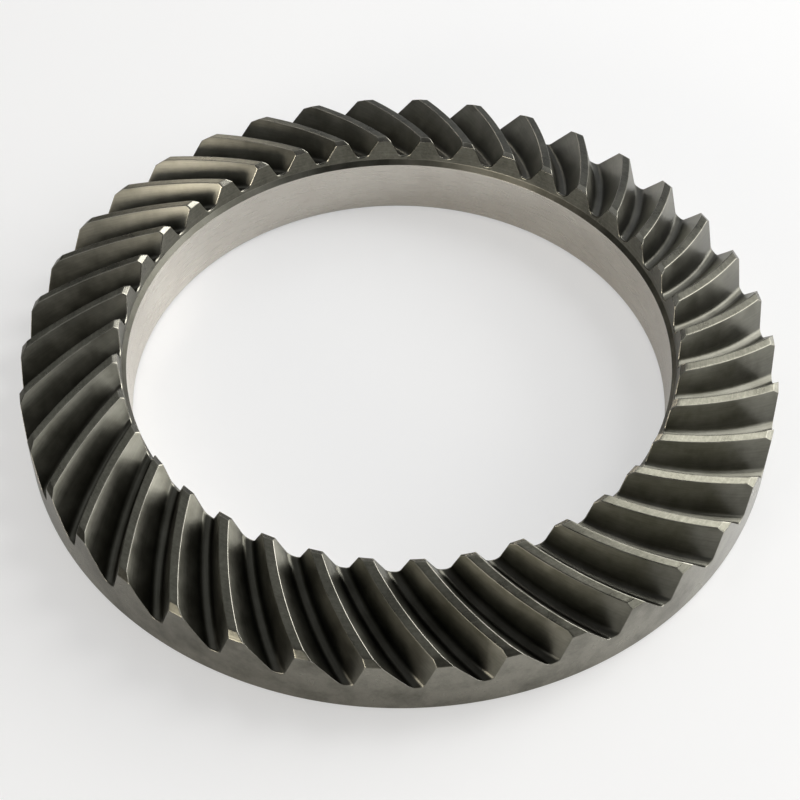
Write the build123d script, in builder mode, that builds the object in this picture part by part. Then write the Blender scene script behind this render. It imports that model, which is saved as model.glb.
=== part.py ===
from build123d import *
import math
import os

# Spiral bevel ring gear (crown wheel) of a rear axle: one forged, turned and face-milled steel ring.
# Millimetres. The origin is on the gear axis in the flat back face, and +Z points to the teeth.

# Blank, as turned
outer_diameter = 220.0         # over the heel ends of the teeth
ring_width = 30.5              # from the ground bore, which seats on the differential case, to the heel ends
bore_edge_height = 18.6        # back face to the upper edge of the bore
bore_chamfer_width = 1.2       # lead-in chamfer between the bore and the toe face
bore_chamfer_height = 1.6
toe_face_lean = 4.0            # the turned toe face leans away from the axis as it rises
crown_height = 28.0            # back face to the toe ends of the top lands, the highest points
face_angle = 13.9              # fall of the top lands from toe to heel
toe_chamfer_width = 1.4        # chamfer across the toe ends of the top lands
toe_chamfer_height = 0.8
heel_chamfer_width = 1.6       # chamfer across the heel ends of the top lands
heel_chamfer_height = 1.65
back_chamfer = 0.8             # both corners of the back face

# Teeth, as cut by a circular face-mill cutter with straight blades
tooth_count = 38
spiral_angle = 35.3            # at the middle of the face width, left-hand
cutter_diameter = 228.6        # at the middle of the blade points
point_width = 2.55             # flat floor of a tooth space, with its two fillets
outside_blade_angle = 22.1     # cuts the concave flank
inside_blade_angle = 29.6      # cuts the convex flank
blade_edge_radius = 1.4        # root fillets
root_angle = 20.4              # fall of the tooth-space floor from toe to heel
heel_root_height = 10.5        # back face to the tooth-space floor at the outer diameter
cutter_overrun = 6.0           # how far a cut starts before the toe and ends past the heel
blade_clearance = 3.0          # blade above the deepest tooth

# Edge break at the toe end of each tooth space, a 45 degree countersink, measured across the toe face
floor_break = 0.5              # below the floor
convex_break = 0.5             # into the foot of the convex flank, whose toe edge would be the sharp one
convex_break_fade = 0.05       # millimetres less for each millimetre up that flank
concave_spare = 0.4            # clear of the concave flank
break_lead = 1.0               # how far inside the toe face the countersink starts

outer_radius = outer_diameter / 2
bore_radius = outer_radius - ring_width
toe_radius = bore_radius + bore_chamfer_width
toe_foot_height = bore_edge_height + bore_chamfer_height
toe_top_height = crown_height - toe_chamfer_height
toe_top_radius = toe_radius + (toe_top_height - toe_foot_height) * math.tan(math.radians(toe_face_lean))
land_toe_radius = toe_top_radius + toe_chamfer_width
land_heel_radius = outer_radius - heel_chamfer_width
land_heel_height = crown_height - (land_heel_radius - land_toe_radius) * math.tan(math.radians(face_angle))
mean_radius = (toe_radius + outer_radius) / 2
cutter_radius = cutter_diameter / 2

# The floor of one tooth space is a plane, tilted by the root angle about the tangent at the mean radius.
# Its X runs from toe to heel down the floor, its Z is the axis of the cutter.
floor_fall = math.radians(root_angle)
spiral = math.radians(spiral_angle)
mean_root_height = heel_root_height + (outer_radius - mean_radius) * math.tan(floor_fall)
floor_plane = Plane(
    origin=(mean_radius, 0, mean_root_height),
    x_dir=(math.cos(floor_fall), 0, -math.sin(floor_fall)),
    z_dir=(math.sin(floor_fall), 0, math.cos(floor_fall)),
)
cutter_centre = Vector(-cutter_radius * math.sin(spiral), cutter_radius * math.cos(spiral))
cutter_axis = Axis(floor_plane.from_local_coords(cutter_centre), floor_plane.z_dir)


def bearing_at(radius):
    """Angle about the cutter axis, from the floor plane's X, where the cut crosses this gear radius."""
    along = (radius - mean_radius) / math.cos(floor_fall)
    return -math.degrees(math.acos((along - cutter_centre.X) / cutter_radius))


overrun_angle = math.degrees(cutter_overrun / cutter_radius)
cut_start = bearing_at(toe_radius) - overrun_angle
cut_end = bearing_at(outer_radius) + overrun_angle

# The blade section stands in a plane through the cutter axis, at the start of the cut.
start = math.radians(cut_start)
blade_plane = Plane(
    origin=cutter_axis.position,
    x_dir=floor_plane.x_dir * math.cos(start) + floor_plane.y_dir * math.sin(start),
    z_dir=floor_plane.x_dir * math.sin(start) - floor_plane.y_dir * math.cos(start),
)
blade_height = (crown_height - heel_root_height) * math.cos(floor_fall) + blade_clearance
outside_run = blade_height * math.tan(math.radians(outside_blade_angle))
inside_run = blade_height * math.tan(math.radians(inside_blade_angle))
inner_point = cutter_radius - point_width / 2
outer_point = cutter_radius + point_width / 2

# The countersink stands on a plane that touches the toe face where the floor runs out.
toe_bearing = math.radians(bearing_at(toe_radius))
mouth_centre = cutter_centre + Vector(math.cos(toe_bearing), math.sin(toe_bearing)) * cutter_radius
mouth = floor_plane.from_local_coords(mouth_centre)
mouth_plane = Plane(origin=mouth, x_dir=(-mouth.Y, mouth.X, 0), z_dir=(mouth.X, mouth.Y, 0))
path = floor_plane.x_dir * -math.sin(toe_bearing) + floor_plane.y_dir * math.cos(toe_bearing)
path_width = math.cos(math.atan2(path.dot(mouth_plane.x_dir), path.dot(mouth_plane.z_dir)))
mouth_half_width = point_width / 2 / path_width
mouth_height = crown_height - mouth.Z + blade_clearance
concave_slope = math.tan(math.radians(outside_blade_angle)) / path_width
convex_slope = math.tan(math.radians(inside_blade_angle)) / path_width
countersink_bottom = -floor_break - break_lead
concave_side = mouth_half_width - concave_spare + break_lead
convex_side = mouth_half_width + convex_break + break_lead

with BuildPart() as tooth_space:
    with BuildSketch(blade_plane) as blade:
        with BuildLine():
            Polyline(
                (inner_point - inside_run, blade_height),
                (inner_point, 0),
                (outer_point, 0),
                (outer_point + outside_run, blade_height),
                close=True,
            )
        make_face()
        fillet(blade.vertices().group_by(Axis.Y)[0], blade_edge_radius)
    revolve(axis=cutter_axis, revolution_arc=cut_end - cut_start)
    with BuildSketch(mouth_plane.offset(-break_lead)) as countersink:
        with BuildLine():
            Polyline(
                (-concave_side - mouth_height * concave_slope, mouth_height),
                (-concave_side, countersink_bottom),
                (convex_side, countersink_bottom),
                (convex_side + mouth_height * (convex_slope - convex_break_fade), mouth_height),
                close=True,
            )
        make_face()
        fillet(countersink.vertices().group_by(Axis.Y)[0], blade_edge_radius + break_lead + floor_break)
    extrude(amount=break_lead + floor_break, taper=45)

with BuildPart() as ring_gear:
    with BuildSketch(Plane.XZ) as half_section:
        with BuildLine():
            Polyline(
                (bore_radius + back_chamfer, 0),
                (outer_radius - back_chamfer, 0),
                (outer_radius, back_chamfer),
                (outer_radius, land_heel_height - heel_chamfer_height),
                (land_heel_radius, land_heel_height),
                (land_toe_radius, crown_height),
                (toe_top_radius, toe_top_height),
                (toe_radius, toe_foot_height),
                (bore_radius, bore_edge_height),
                (bore_radius, back_chamfer),
                close=True,
            )
        make_face()
    revolve(axis=Axis.Z)
    with PolarLocations(0, tooth_count):
        add(tooth_space.part, mode=Mode.SUBTRACT)

ring_gear.part.label = "ring_gear"

os.makedirs("parts", exist_ok=True)
export_step(ring_gear.part, "parts/ring_gear.step")
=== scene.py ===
import math

import bmesh
import bpy
from mathutils import Euler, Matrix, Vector


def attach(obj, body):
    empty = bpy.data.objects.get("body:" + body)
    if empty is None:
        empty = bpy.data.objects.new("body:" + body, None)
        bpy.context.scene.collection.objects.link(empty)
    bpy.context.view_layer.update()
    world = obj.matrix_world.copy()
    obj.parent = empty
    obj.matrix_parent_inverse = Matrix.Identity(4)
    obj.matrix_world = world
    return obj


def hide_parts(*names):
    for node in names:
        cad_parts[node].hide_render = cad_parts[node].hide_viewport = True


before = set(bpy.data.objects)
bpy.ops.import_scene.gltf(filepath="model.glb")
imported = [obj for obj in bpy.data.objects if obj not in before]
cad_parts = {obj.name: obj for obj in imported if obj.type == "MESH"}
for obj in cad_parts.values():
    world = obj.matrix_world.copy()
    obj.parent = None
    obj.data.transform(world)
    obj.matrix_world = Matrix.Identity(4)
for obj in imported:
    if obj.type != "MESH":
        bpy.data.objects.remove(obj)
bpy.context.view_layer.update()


# ---- Camera ---------------------------------------------------------------------------------
# A studio camera on a tripod, about half a metre away and looking down on the gear at 49 degrees,
# with a short telephoto lens that keeps the ring nearly free of perspective.

camera_data = bpy.data.cameras.new("studio_camera")
camera_data.sensor_width = 36.0
camera_data.lens = 81.475
camera_data.clip_start = 0.05
camera_data.clip_end = 20.0
camera = bpy.data.objects.new("studio_camera", camera_data)
camera.location = (-0.0057, -0.35457, 0.41303)
camera.rotation_euler = Euler([math.radians(angle) for angle in (40.3509, -0.2327, -0.7024)])
bpy.context.scene.collection.objects.link(camera)
bpy.context.scene.camera = camera


# ---- Ring gear: blank and teeth -------------------------------------------------------------
# One forged ring of case-hardening steel. The blank is turned all over, then each tooth space is
# milled by the straight blades of a round cutter head whose axis stands square on the slot's floor.
# All sizes are millimetres until the mesh is finished.

outer_radius = 110.0
ring_width = 30.5
bore_edge_height = 18.6
bore_chamfer = (1.2, 1.6)          # across and up
toe_face_lean = math.radians(4.0)
crown_height = 28.0
face_angle = math.radians(13.9)
toe_chamfer = (1.4, 0.8)           # across and down
heel_chamfer = (1.6, 1.65)
back_chamfer = 0.8

tooth_count = 38
spiral_angle = math.radians(35.3)
cutter_radius = 114.3
point_width = 2.55
blade_angles = {"concave": math.radians(22.1), "convex": math.radians(29.6)}
blade_side = {"concave": 1, "convex": -1}   # away from the cutter's axis, or towards it
blade_edge_radius = 1.4
root_angle = math.radians(20.4)
heel_root_height = 10.5

floor_break = 0.5                  # edge break where a slot opens at the toe
convex_break = 0.5
convex_break_fade = 0.05           # how much narrower it gets with each millimetre up the flank
edge_round = 0.3                   # all other edges, tumbled and worn
edge_turn = math.radians(21.0)     # an edge that turns less than this is part of a curved face

bore_radius = outer_radius - ring_width
toe_radius = bore_radius + bore_chamfer[0]
toe_foot_height = bore_edge_height + bore_chamfer[1]
toe_top_height = crown_height - toe_chamfer[1]
toe_top_radius = toe_radius + (toe_top_height - toe_foot_height) * math.tan(toe_face_lean)
land_toe_radius = toe_top_radius + toe_chamfer[0]
land_heel_radius = outer_radius - heel_chamfer[0]
land_heel_height = crown_height - (land_heel_radius - land_toe_radius) * math.tan(face_angle)
heel_top_height = land_heel_height - heel_chamfer[1]
mean_radius = (toe_radius + outer_radius) / 2
mean_root_height = heel_root_height + (outer_radius - mean_radius) * math.tan(root_angle)
pitch = 2 * math.pi / tooth_count

# The slot at angle 0: down its floor towards the heel, across it, and along the cutter's axis.
down_floor = Vector((math.cos(root_angle), 0, -math.sin(root_angle)))
across_floor = Vector((0, 1, 0))
cutter_axis = Vector((math.sin(root_angle), 0, math.cos(root_angle)))
to_cutter = math.cos(spiral_angle) * across_floor - math.sin(spiral_angle) * down_floor
cutter_centre = Vector((mean_radius, 0, mean_root_height))
cutter_centre += cutter_radius * to_cutter


def milled_point(across, rise, radius):
    """Where a point of the blade, so far across the slot and above its floor, crosses a radius."""
    reach = cutter_radius + across
    turn = spiral_angle - math.pi / 2
    for _ in range(7):
        ray = math.cos(turn) * down_floor + math.sin(turn) * across_floor
        sweep = math.cos(turn) * across_floor - math.sin(turn) * down_floor
        place = cutter_centre + reach * ray + rise * cutter_axis
        gap = radius - place.xy.length
        turn += gap * place.xy.length / (reach * place.xy.dot(sweep.xy))
    return place


def on_flank(side, rise):
    return blade_side[side] * (point_width / 2 + rise * math.tan(blade_angles[side]))


def flank_rise(side, radius, height):
    """How far above the slot's floor this flank reaches a height at a radius of the gear."""
    rise = 6.0
    for _ in range(12):
        rise += (height - milled_point(on_flank(side, rise), rise, radius).z) / math.cos(root_angle)
    return rise


def fillet_point(side, share):
    """Across and rise of a point of the root fillet. Share 0 is on the floor, 1 on the flank."""
    angle = blade_angles[side]
    floor_half = point_width / 2 - blade_edge_radius * (1 - math.sin(angle)) / math.cos(angle)
    bend = share * (math.pi / 2 - angle)
    across = floor_half + blade_edge_radius * math.sin(bend)
    return blade_side[side] * across, blade_edge_radius * (1 - math.cos(bend))


def land_height(radius):
    return crown_height - (radius - land_toe_radius) * math.tan(face_angle)


def toe_face_radius(height):
    return toe_radius + (height - toe_foot_height) * math.tan(toe_face_lean)


def toe_end_radius(across, rise):
    radius = toe_radius
    for _ in range(6):
        radius = toe_face_radius(milled_point(across, rise, radius).z)
    return radius


def around(radius, bearing, height):
    return Vector((radius * math.cos(bearing), radius * math.sin(bearing), height))


def bearing_of(place):
    return math.atan2(place.y, place.x)


def blend(start, end, share):
    return start + (end - start) * share


# One pitch is a sheet of quads, from the middle of one top land, down into the slot and up to the
# middle of the next. Each column of the sheet is a line that runs along the tooth. The rows next to
# its two end rows lie a little way in, so that the chamfers and the edge break keep crisp corners.
land_steps, flank_steps, fillet_steps, tooth_steps = 3, 5, 4, 30
toe_inset, toe_inset_share = 0.3, 0.75     # at least this, or this share of the edge break
heel_inset = 0.5
columns = [("land", "concave", step / land_steps) for step in range(land_steps)]
columns += [("edge", "concave", 1.0)]
columns += [("flank", "concave", 1 - step / flank_steps) for step in range(flank_steps)]
columns += [("fillet", "concave", 1 - step / fillet_steps) for step in range(fillet_steps + 1)]
columns += [("fillet", "convex", step / fillet_steps) for step in range(fillet_steps + 1)]
columns += [("flank", "convex", (step + 1) / flank_steps) for step in range(flank_steps)]
columns += [("edge", "convex", 1.0)]
columns += [("land", "convex", 1 - (step + 1) / land_steps) for step in range(land_steps)]

corner_rise = {}
for side in blade_side:
    toe_rise = flank_rise(side, toe_top_radius, toe_top_height)
    heel_rise = flank_rise(side, outer_radius, heel_top_height)
    corner_rise[side] = (toe_rise, heel_rise)
fillet_rise = {side: fillet_point(side, 1.0)[1] for side in blade_side}


def slot_profile(part, side, share, along):
    """Across and rise of a slot column at a share of the way from toe to heel."""
    if part == "fillet":
        return fillet_point(side, share)
    rise = blend(fillet_rise[side], blend(*corner_rise[side], along), share)
    return on_flank(side, rise), rise


def toe_break(part, side, share):
    """Width of the toe edge break on a column, and which way it widens in the toe face."""
    flat = math.pi / 2 - blade_angles[side]
    if part == "flank":
        height = share * (corner_rise[side][0] - fillet_rise[side])
        width = convex_break - convex_break_fade * height if side == "convex" else 0.0
        bend = math.pi / 2 if share == 1.0 else flat
    else:
        width = blend(floor_break, convex_break if side == "convex" else 0.0, share)
        bend = share * flat
    return width, -blade_side[side] * math.sin(bend), -math.cos(bend)


def slot_point(part, side, share, row):
    """A point of a slot column. Row 0 is its toe edge, the last row its heel edge."""
    if row == 0:
        across, rise = slot_profile(part, side, share, 0.0)
        place = milled_point(across, rise, toe_end_radius(across, rise))
        width, sideways, down = toe_break(part, side, share)
        height = place.z + down * width
        radius = toe_face_radius(height)
        return around(radius, bearing_of(place) + sideways * width / radius, height)
    if row == tooth_steps + 2:
        across, rise = slot_profile(part, side, share, 1.0)
        return milled_point(across, rise, outer_radius)
    along = (row - 1) / tooth_steps
    across, rise = slot_profile(part, side, share, 0.0)
    inset = max(toe_inset, toe_inset_share * toe_break(part, side, share)[0])
    start = toe_end_radius(across, rise) + inset
    across, rise = slot_profile(part, side, share, along)
    return milled_point(across, rise, blend(start, outer_radius - heel_inset, along))


def land_edge_point(side, row):
    """A point of the edge between a flank and the top land. It ends at corners of the chamfers."""
    if row in (0, tooth_steps + 2):
        return slot_point("flank", side, 1.0, row)
    radius = blend(land_toe_radius, land_heel_radius, (row - 1) / tooth_steps)
    rise = flank_rise(side, radius, land_height(radius))
    return milled_point(on_flank(side, rise), rise, radius)


edge_points = {}
for side in blade_side:
    edge_points[side] = [land_edge_point(side, row) for row in range(tooth_steps + 3)]


def land_point(side, share, row):
    """A point of the top land, between two neighbouring slots. Share 1 is on this slot's edge."""
    near = edge_points[side][row]
    far = edge_points["convex" if side == "concave" else "concave"][row]
    turn = -pitch if side == "concave" else pitch
    middle = (bearing_of(near) + bearing_of(far) + turn) / 2
    return around(near.xy.length, blend(middle, bearing_of(near), share), near.z)


# How much the slot's painted shade is lifted: 0 on the floor of a slot, up to 1 at the top of a
# flank.
# The convex flanks keep more painted shade than the concave ones.
fillet_painted_lightness = 0.15
flank_painted_lightness = {"concave": 0.85, "convex": 0.25}
# The chamfer level shows only on the bore's chamfer, which takes the slots' painted shade.
chamfer_painted_lightness = 0.2

gear = bmesh.new()
row_count = tooth_steps + 3
bmesh.ops.create_grid(gear, x_segments=len(columns) - 1, y_segments=row_count - 1, size=0.5)
column_layer = gear.verts.layers.int.new("column")
row_layer = gear.verts.layers.int.new("row")
painted_lightness_layer = gear.verts.layers.float.new("rise")
grid = {}
for vert in gear.verts:
    column = round((vert.co.x + 0.5) * (len(columns) - 1))
    row = round((vert.co.y + 0.5) * (row_count - 1))
    grid[column, row] = vert
    vert[column_layer] = column
    vert[row_layer] = row
    part, side, share = columns[column]
    if part == "fillet":
        vert[painted_lightness_layer] = fillet_painted_lightness * share
    else:
        vert[painted_lightness_layer] = fillet_painted_lightness + flank_painted_lightness[side] * share
    if part == "land":
        vert.co = land_point(side, share, row)
    elif part == "edge":
        vert.co = edge_points[side][row]
    else:
        vert.co = slot_point(part, side, share, row)

TURNED, MILLED, GROUND = range(3)
first_flank = land_steps
last_flank = len(columns) - 1 - land_steps
for face in gear.faces:
    column = min(vert[column_layer] for vert in face.verts)
    rows = [vert[row_layer] for vert in face.verts]
    in_slot = first_flank <= column < last_flank
    face.material_index = MILLED if in_slot and min(rows) > 0 else TURNED

# Distances along the tooth and across the slot, in metres, for the marks of the cutter.
millimetre = 0.001
row_spacing = 1.2                  # about how far apart the rows are along a tooth
middle_row = row_count // 2
across_slot = [0.0]
for column in range(1, len(columns)):
    gap = grid[column, middle_row].co - grid[column - 1, middle_row].co
    across_slot.append(across_slot[-1] + gap.length)
tooth_map = gear.loops.layers.uv.new("along_tooth")
for face in gear.faces:
    for loop in face.loops:
        along = loop.vert[row_layer] * row_spacing
        across = across_slot[loop.vert[column_layer]]
        loop[tooth_map].uv = (along * millimetre, across * millimetre)


def pull_down(edges, stations, finishes):
    """Carries a rim of the sheet on round the blank, through stations of radius and height."""
    for (radius, height), finish in zip(stations, finishes):
        made = bmesh.ops.extrude_edge_only(gear, edges=edges)["geom"]
        rim = [item for item in made if isinstance(item, bmesh.types.BMVert)]
        for vert in rim:
            vert.co = around(radius, bearing_of(vert.co), height)
            vert[painted_lightness_layer] = chamfer_painted_lightness
        for face in [item for item in made if isinstance(item, bmesh.types.BMFace)]:
            face.material_index = finish
        new_edges = [item for item in made if isinstance(item, bmesh.types.BMEdge)]
        edges = [edge for edge in new_edges if set(edge.verts) <= set(rim)]
    return edges


last_row = row_count - 1
toe_rim = [edge for edge in gear.edges if all(vert[row_layer] == 0 for vert in edge.verts)]
heel_rim = [edge for edge in gear.edges if all(vert[row_layer] == last_row for vert in edge.verts)]
toe_stations = [
    (toe_radius, toe_foot_height),
    (bore_radius, bore_edge_height),
    (bore_radius, back_chamfer),
    (bore_radius + back_chamfer, 0.0),
]
below_slots = heel_root_height - 2.0
heel_stations = [
    (outer_radius, below_slots),
    (outer_radius, back_chamfer),
    (outer_radius - back_chamfer, 0.0),
]
# The grinding wheel doesn't reach the bore's chamfer, so it keeps the dark film of the slots, and
# their painted shade is put on it too.
pull_down(toe_rim, toe_stations, (TURNED, MILLED, GROUND, TURNED))
pull_down(heel_rim, heel_stations, (TURNED, TURNED, TURNED))
weld = 0.01                        # points nearer than this are one
bmesh.ops.remove_doubles(gear, verts=gear.verts, dist=weld)

bmesh.ops.spin(gear, geom=gear.verts[:] + gear.edges[:] + gear.faces[:], cent=(0, 0, 0),
               axis=(0, 0, 1), angle=-pitch * (tooth_count - 1), steps=tooth_count - 1,
               use_duplicate=True)
bmesh.ops.remove_doubles(gear, verts=gear.verts, dist=weld)
back_rims = [edge for edge in gear.edges if edge.is_boundary]
bmesh.ops.bridge_loops(gear, edges=back_rims)
bmesh.ops.recalc_face_normals(gear, faces=gear.faces)

# Share of the dark film that is rubbed off: most on the edges that lead when the gear turns, where
# the extra is partly a painted highlight, and by handling on the rim and on the toe chamfers.
leading_edge_wear_and_highlight = 0.5
other_edge_wear = 0.15
rim_wear = 0.38
toe_wear = 0.4

wear_and_highlight_layer = gear.faces.layers.float.new("wear_and_highlight")
sharp = [edge for edge in gear.edges if edge.calc_face_angle(0.0) > edge_turn]
rounded = bmesh.ops.bevel(gear, geom=sharp, affect="EDGES", offset=edge_round, segments=2,
                          profile=0.5, material=-1, clamp_overlap=True)
for face in rounded["faces"]:
    middle = face.calc_center_median()
    # Edges facing the way the gear turns get the larger share, partly a painted highlight.
    wear_and_highlight_side = face.normal.dot(Vector((-middle.y, middle.x, 0)).normalized()) > 0.15
    on_tooth = middle.xy.length > land_toe_radius
    face[wear_and_highlight_layer] = leading_edge_wear_and_highlight if wear_and_highlight_side and on_tooth else other_edge_wear
for face in gear.faces:
    radius = face.calc_center_median().xy.length
    upright = abs(face.normal.z) < 0.1
    turned_up = face.material_index == TURNED and face.normal.z > 0.3
    if upright and radius > outer_radius - heel_inset:
        face[wear_and_highlight_layer] = rim_wear
    if turned_up and toe_top_radius - edge_round < radius < land_toe_radius:
        face[wear_and_highlight_layer] = toe_wear
    face.smooth = True
bmesh.ops.scale(gear, vec=(millimetre, millimetre, millimetre), verts=gear.verts)

gear_mesh = bpy.data.meshes.new("gear_ring")
gear.to_mesh(gear_mesh)
gear.free()
gear_object = bpy.data.objects.new("gear_ring", gear_mesh)
bpy.context.scene.collection.objects.link(gear_object)
soft_edges = gear_object.modifiers.new("even shading", "WEIGHTED_NORMAL")
soft_edges.weight = 50
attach(gear_object, "root")
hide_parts("ring_gear")


def linear(hex_colour):
    """A linear colour from an sRGB hex value such as 8f8a80."""
    colour = []
    for place in (0, 2, 4):
        level = int(hex_colour[place:place + 2], 16) / 255
        colour.append(level / 12.92 if level <= 0.04045 else ((level + 0.055) / 1.055) ** 2.4)
    return colour + [1.0]


def add_node(tree, kind, settings=None, links=None):
    """Adds a node, sets its properties and sockets, and links outputs of others to its inputs."""
    node = tree.nodes.new(kind)
    for name, value in (settings or {}).items():
        if isinstance(name, str) and hasattr(node, name):
            setattr(node, name, value)
        else:
            node.inputs[name].default_value = value
    for name, output in (links or {}).items():
        tree.links.new(output, node.inputs[name])
    return node


# Turned faces: alloy steel, turned on a lathe, then case-hardened and tempered. The tool leaves
# fine rings round the axis, and the furnace leaves a dull grey-olive film with darker and lighter
# clouds, which is rubbed back to bright steel on the edges; the brighter leading edges are partly a
# painted highlight.

turned_steel = bpy.data.materials.new("turned_case_hardened_steel")
turned_steel.use_nodes = True
tree = turned_steel.node_tree
shader = tree.nodes["Principled BSDF"]
shader.inputs["Metallic"].default_value = 1.0
spot = add_node(tree, "ShaderNodeTexCoord")
height = add_node(tree, "ShaderNodeSeparateXYZ", links={0: spot.outputs["Object"]})
plan = add_node(tree, "ShaderNodeVectorMath", {"operation": "MULTIPLY", 1: (1, 1, 0)},
                {0: spot.outputs["Object"]})
radius = add_node(tree, "ShaderNodeVectorMath", {"operation": "LENGTH"}, {0: plan.outputs[0]})
lathe_spot = add_node(tree, "ShaderNodeCombineXYZ",
                      links={0: radius.outputs["Value"], 2: height.outputs["Z"]})
# The real feed is about 0.2 mm a turn, too fine to show, so the rings are drawn 0.5 mm apart.
rings = add_node(tree, "ShaderNodeTexNoise",
                 {"Scale": 1 / 0.0005, "Detail": 2.0, "Roughness": 0.6},
                 {"Vector": lathe_spot.outputs[0]})
clouds = add_node(tree, "ShaderNodeTexNoise",
                  {"Scale": 1 / 0.011, "Detail": 5.0, "Roughness": 0.62},
                  {"Vector": spot.outputs["Object"]})
specks = add_node(tree, "ShaderNodeTexNoise",
                  {"Scale": 1 / 0.0011, "Detail": 3.0, "Roughness": 0.7},
                  {"Vector": spot.outputs["Object"]})
film = add_node(tree, "ShaderNodeValToRGB", links={0: clouds.outputs["Fac"]})
film.color_ramp.elements[0].position = 0.36
film.color_ramp.elements[0].color = linear("5d5c53")
film.color_ramp.elements[1].position = 0.66
film.color_ramp.elements[1].color = linear("6f6e64")
speck_shade = add_node(tree, "ShaderNodeMapRange",
                       {"From Min": 0.3, "From Max": 0.7, "To Min": 0.8, "To Max": 1.18},
                       {"Value": specks.outputs["Fac"]})
ring_shade = add_node(tree, "ShaderNodeMapRange",
                      {"From Min": 0.3, "From Max": 0.7, "To Min": 0.88, "To Max": 1.11},
                      {"Value": rings.outputs["Fac"]})
shade = add_node(tree, "ShaderNodeMath", {"operation": "MULTIPLY"},
                 {0: speck_shade.outputs[0], 1: ring_shade.outputs[0]})
dull = add_node(tree, "ShaderNodeVectorMath", {"operation": "SCALE"},
                {0: film.outputs["Color"], "Scale": shade.outputs[0]})
# Worn edges are bright steel; the leading edges' extra brightness is partly a painted highlight.
wear_and_highlight = add_node(tree, "ShaderNodeAttribute", {"attribute_name": "wear_and_highlight"})
patchy = add_node(tree, "ShaderNodeMapRange", {"From Min": 0.3, "From Max": 0.55, "To Min": 0.3},
                  {"Value": clouds.outputs["Fac"]})
rubbed_and_highlit = add_node(tree, "ShaderNodeMath", {"operation": "MULTIPLY"},
                  {0: wear_and_highlight.outputs["Fac"], 1: patchy.outputs[0]})
colour = add_node(tree, "ShaderNodeMix", {"data_type": "RGBA", 7: linear("b8b5ab")},
                  {0: rubbed_and_highlit.outputs[0], 6: dull.outputs[0]})
grain = add_node(tree, "ShaderNodeMapRange",
                 {"From Min": 0.3, "From Max": 0.7, "To Min": 0.25, "To Max": 0.36},
                 {"Value": clouds.outputs["Fac"]})
# Where the film is rubbed off, the bare steel is also polished.
polish = add_node(tree, "ShaderNodeMapRange", {"To Min": 1.0, "To Max": 0.5},
                  {"Value": rubbed_and_highlit.outputs[0]})
gloss = add_node(tree, "ShaderNodeMath", {"operation": "MULTIPLY"},
                 {0: grain.outputs[0], 1: polish.outputs[0]})
tool_marks = add_node(tree, "ShaderNodeBump", {"Strength": 0.6, "Distance": 0.00003},
                      {"Height": rings.outputs["Fac"]})
tree.links.new(colour.outputs[2], shader.inputs["Base Color"])
tree.links.new(gloss.outputs[0], shader.inputs["Roughness"])
tree.links.new(tool_marks.outputs[0], shader.inputs["Normal"])

# Milled slots: the same steel, cut by the cutter head and lapped against the pinion, then darkened
# by the furnace. Blade marks run along the tooth, and painted shade makes it near black low down.

milled_steel = bpy.data.materials.new("milled_case_hardened_steel")
milled_steel.use_nodes = True
tree = milled_steel.node_tree
shader = tree.nodes["Principled BSDF"]
shader.inputs["Metallic"].default_value = 1.0
spot = add_node(tree, "ShaderNodeTexCoord")
tooth_spot = add_node(tree, "ShaderNodeMapping", {"Scale": (0.06, 1, 1)},
                      {0: spot.outputs["UV"]})
# Blade marks are about 0.1 mm apart, drawn 0.5 mm apart so that they show.
blade_marks = add_node(tree, "ShaderNodeTexNoise",
                       {"Scale": 1 / 0.0005, "Detail": 2.0, "Roughness": 0.55},
                       {"Vector": tooth_spot.outputs[0]})
clouds = add_node(tree, "ShaderNodeTexNoise",
                  {"Scale": 1 / 0.009, "Detail": 4.0, "Roughness": 0.6},
                  {"Vector": spot.outputs["Object"]})
film = add_node(tree, "ShaderNodeValToRGB", links={0: clouds.outputs["Fac"]})
film.color_ramp.elements[0].position = 0.35
film.color_ramp.elements[0].color = linear("706f65")
film.color_ramp.elements[1].position = 0.68
film.color_ramp.elements[1].color = linear("8b8a80")
mark_shade = add_node(tree, "ShaderNodeMapRange",
                      {"From Min": 0.3, "From Max": 0.7, "To Min": 0.91, "To Max": 1.07},
                      {"Value": blade_marks.outputs["Fac"]})
# Painted shade: the floor of a slot is a little less dark than the fillets and the foot of the
# flanks, where it is darkest, and it thins out towards the tops of the flanks.
rise = add_node(tree, "ShaderNodeAttribute", {"attribute_name": "rise"})
painted_shade = add_node(tree, "ShaderNodeValToRGB", links={0: rise.outputs["Fac"]})
painted_shade.color_ramp.elements[0].color = (0.47, 0.47, 0.47, 1)
painted_shade.color_ramp.elements.new(0.17).color = (0.42, 0.42, 0.42, 1)
painted_shade.color_ramp.elements.new(0.6).color = (0.9, 0.9, 0.9, 1)
shade = add_node(tree, "ShaderNodeMath", {"operation": "MULTIPLY"},
                 {0: mark_shade.outputs[0], 1: painted_shade.outputs["Color"]})
dull = add_node(tree, "ShaderNodeVectorMath", {"operation": "SCALE"},
                {0: film.outputs["Color"], "Scale": shade.outputs[0]})
# Worn edges are bright steel; the leading edges' extra brightness is partly a painted highlight.
wear_and_highlight = add_node(tree, "ShaderNodeAttribute", {"attribute_name": "wear_and_highlight"})
patchy = add_node(tree, "ShaderNodeMapRange", {"From Min": 0.3, "From Max": 0.55, "To Min": 0.3},
                  {"Value": clouds.outputs["Fac"]})
rubbed_and_highlit = add_node(tree, "ShaderNodeMath", {"operation": "MULTIPLY"},
                  {0: wear_and_highlight.outputs["Fac"], 1: patchy.outputs[0]})
colour = add_node(tree, "ShaderNodeMix", {"data_type": "RGBA", 7: linear("b8b5ab")},
                  {0: rubbed_and_highlit.outputs[0], 6: dull.outputs[0]})
grain = add_node(tree, "ShaderNodeMapRange",
                 {"From Min": 0.3, "From Max": 0.7, "To Min": 0.35, "To Max": 0.46},
                 {"Value": clouds.outputs["Fac"]})
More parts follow.
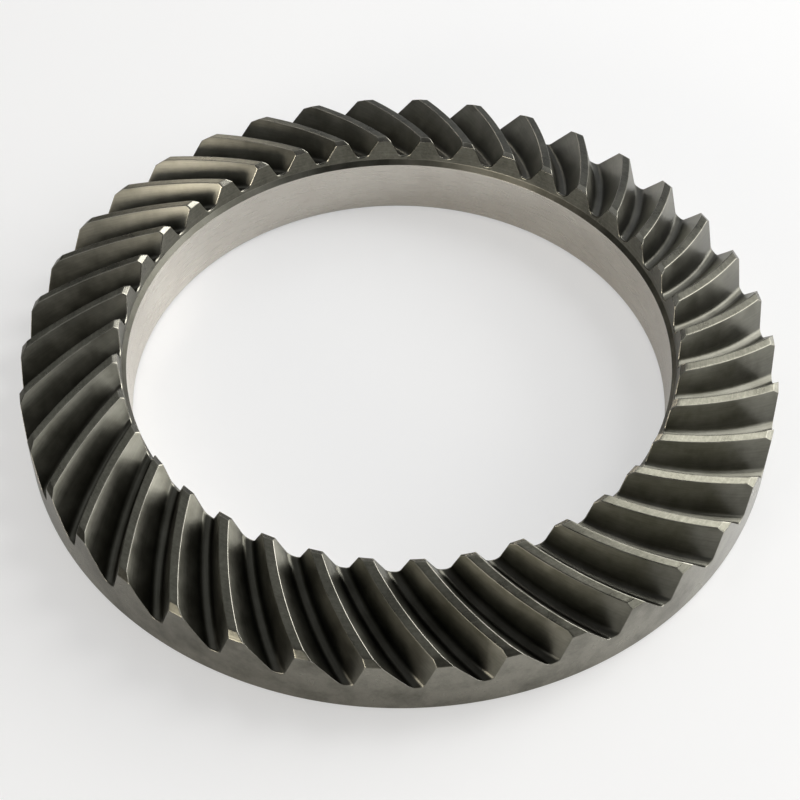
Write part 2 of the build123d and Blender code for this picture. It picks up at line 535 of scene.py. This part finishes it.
# Oil gathers low in the slot and makes it a little glossier.
oil = add_node(tree, "ShaderNodeMapRange", {"From Max": 0.3, "To Min": 0.85},
               {"Value": rise.outputs["Fac"]})
gloss = add_node(tree, "ShaderNodeMath", {"operation": "MULTIPLY"},
                 {0: grain.outputs[0], 1: oil.outputs[0]})
cutter_marks = add_node(tree, "ShaderNodeBump", {"Strength": 0.6, "Distance": 0.00003},
                        {"Height": blade_marks.outputs["Fac"]})
tree.links.new(colour.outputs[2], shader.inputs["Base Color"])
tree.links.new(gloss.outputs[0], shader.inputs["Roughness"])
tree.links.new(cutter_marks.outputs[0], shader.inputs["Normal"])

# Ground bore: the same steel again, ground after hardening, so the film is gone. It is bright satin
# steel whose fine scratches run round the bore and stretch each reflection up and down.

ground_steel = bpy.data.materials.new("ground_hardened_steel")
ground_steel.use_nodes = True
tree = ground_steel.node_tree
shader = tree.nodes["Principled BSDF"]
shader.inputs["Metallic"].default_value = 1.0
shader.inputs["Anisotropic"].default_value = 0.6
spot = add_node(tree, "ShaderNodeTexCoord")
round_bore = add_node(tree, "ShaderNodeVectorMath", {"operation": "CROSS_PRODUCT", 0: (0, 0, 1)},
                      {1: spot.outputs["Object"]})
wheel_spot = add_node(tree, "ShaderNodeMapping", {"Scale": (0.04, 0.04, 1)},
                      {0: spot.outputs["Object"]})
# Wheel scratches are a few hundredths of a millimetre apart, drawn 0.4 mm apart.
scratches = add_node(tree, "ShaderNodeTexNoise",
                     {"Scale": 1 / 0.0004, "Detail": 3.0, "Roughness": 0.6},
                     {"Vector": wheel_spot.outputs[0]})
smears = add_node(tree, "ShaderNodeTexNoise",
                  {"Scale": 1 / 0.012, "Detail": 3.0, "Roughness": 0.55},
                  {"Vector": spot.outputs["Object"]})
sheen = add_node(tree, "ShaderNodeValToRGB", links={0: smears.outputs["Fac"]})
sheen.color_ramp.elements[0].position = 0.3
sheen.color_ramp.elements[0].color = linear("d3cec6")
sheen.color_ramp.elements[1].position = 0.7
sheen.color_ramp.elements[1].color = linear("dbd7cf")
scratch_shade = add_node(tree, "ShaderNodeMapRange",
                         {"From Min": 0.3, "From Max": 0.7, "To Min": 0.985, "To Max": 1.015},
                         {"Value": scratches.outputs["Fac"]})
bright = add_node(tree, "ShaderNodeVectorMath", {"operation": "SCALE"},
                  {0: sheen.outputs["Color"], "Scale": scratch_shade.outputs[0]})
grain = add_node(tree, "ShaderNodeMapRange",
                 {"From Min": 0.3, "From Max": 0.7, "To Min": 0.24, "To Max": 0.34},
                 {"Value": scratches.outputs["Fac"]})
wheel_marks = add_node(tree, "ShaderNodeBump", {"Strength": 0.15, "Distance": 0.00001},
                       {"Height": scratches.outputs["Fac"]})
tree.links.new(bright.outputs[0], shader.inputs["Base Color"])
tree.links.new(grain.outputs[0], shader.inputs["Roughness"])
tree.links.new(wheel_marks.outputs[0], shader.inputs["Normal"])
tree.links.new(round_bore.outputs[0], shader.inputs["Tangent"])

for steel in (turned_steel, milled_steel, ground_steel):
    gear_mesh.materials.append(steel)


# ---- Table ----------------------------------------------------------------------------------
# The gear lies on a table top of white board with a satin coating, which runs far past it on every
# side and throws a soft reflection back on to the steel.

table_reach = 4.0                  # metres from its middle to its edges
table_sheet = bmesh.new()
bmesh.ops.create_grid(table_sheet, x_segments=1, y_segments=1, size=table_reach)
table_mesh = bpy.data.meshes.new("table")
table_sheet.to_mesh(table_mesh)
table_sheet.free()
table = bpy.data.objects.new("table", table_mesh)
bpy.context.scene.collection.objects.link(table)

board = bpy.data.materials.new("satin_coated_white_board")
board.use_nodes = True
tree = board.node_tree
shader = tree.nodes["Principled BSDF"]
shader.inputs["Base Color"].default_value = linear("f8f8f8")
shader.inputs["Roughness"].default_value = 0.9
shader.inputs["Specular IOR Level"].default_value = 0.2
shader.inputs["Coat Weight"].default_value = 1.0
shader.inputs["Coat Roughness"].default_value = 0.2
# The camera, and to a lesser degree the steel, see the board whiter than the lamps alone leave it.
# The share of white is under a half, so the gear's shadow stays.
ray = add_node(tree, "ShaderNodeLightPath")
in_steel = add_node(tree, "ShaderNodeMath", {"operation": "MULTIPLY", 1: 0.1},
                    {0: ray.outputs["Is Glossy Ray"]})
share = add_node(tree, "ShaderNodeMath", {"operation": "MULTIPLY_ADD", 1: 0.45},
                 {0: ray.outputs["Is Camera Ray"], 2: in_steel.outputs[0]})
white = add_node(tree, "ShaderNodeEmission", {"Color": (1.0, 1.0, 1.0, 1.0), "Strength": 1.0})
both = add_node(tree, "ShaderNodeMixShader",
                links={0: share.outputs[0], 1: shader.outputs[0], 2: white.outputs[0]})
tree.links.new(both.outputs[0], tree.nodes["Material Output"].inputs["Surface"])
table_mesh.materials.append(board)


# ---- Light ----------------------------------------------------------------------------------
# A dim white room. A wide panel on the right is the window, with smaller ones above it, behind it
# and in front of it. Weak panels fill from overhead, from behind and from the front left, and two
# small strong ones, at the front left and behind, give the gleam on the flanks and the lands.

room = bpy.data.worlds.new("room")
room.use_nodes = True
room_light = room.node_tree.nodes["Background"]
room_light.inputs["Color"].default_value = (1.0, 1.0, 1.0, 1.0)
room_light.inputs["Strength"].default_value = 0.1
bpy.context.scene.world = room
bpy.context.scene.view_settings.view_transform = "Standard"


def hang_panel(name, azimuth, elevation, distance, size, brightness, colour):
    """A soft panel that faces the gear. Azimuth runs from +X towards +Y. Sizes are in metres."""
    panel = bpy.data.lights.new(name, "AREA")
    panel.shape = "RECTANGLE"
    panel.size, panel.size_y = size
    panel.energy = brightness * math.pi * size[0] * size[1]
    panel.color = linear(colour)[:3]
    turn, tilt = math.radians(azimuth), math.radians(elevation)
    level = math.cos(tilt)
    away = Vector((math.cos(turn) * level, math.sin(turn) * level, math.sin(tilt)))
    holder = bpy.data.objects.new(name, panel)
    holder.location = away * distance
    holder.rotation_euler = away.to_track_quat("Z", "Y").to_euler()
    bpy.context.scene.collection.objects.link(holder)


hang_panel("window", 17, 17, 1.4, (1.3, 0.86), 6.0, "fffefc")
hang_panel("window_top", 29, 49, 1.4, (0.5, 0.58), 6.4, "fffefc")
hang_panel("window_right", 48, 26, 1.4, (0.4, 0.5), 2.0, "fffefc")
hang_panel("window_side", -26, 14, 1.4, (0.85, 0.8), 2.0, "ffffff")
hang_panel("ceiling", 110, 61, 1.6, (2.1, 1.65), 0.48, "fbfdff")
hang_panel("back_fill", 78, 20, 1.4, (1.3, 0.8), 0.3, "f2f6ff")
hang_panel("front_fill", -122, 20, 1.4, (1.1, 0.9), 0.6, "ffffff")
hang_panel("front_strip", -132, 12, 1.3, (0.5, 0.4), 12.0, "fff5e6")
hang_panel("back_strip", 107, 19, 1.3, (0.2, 0.26), 4.6, "fff6ea")

bpy.context.view_layer.update()
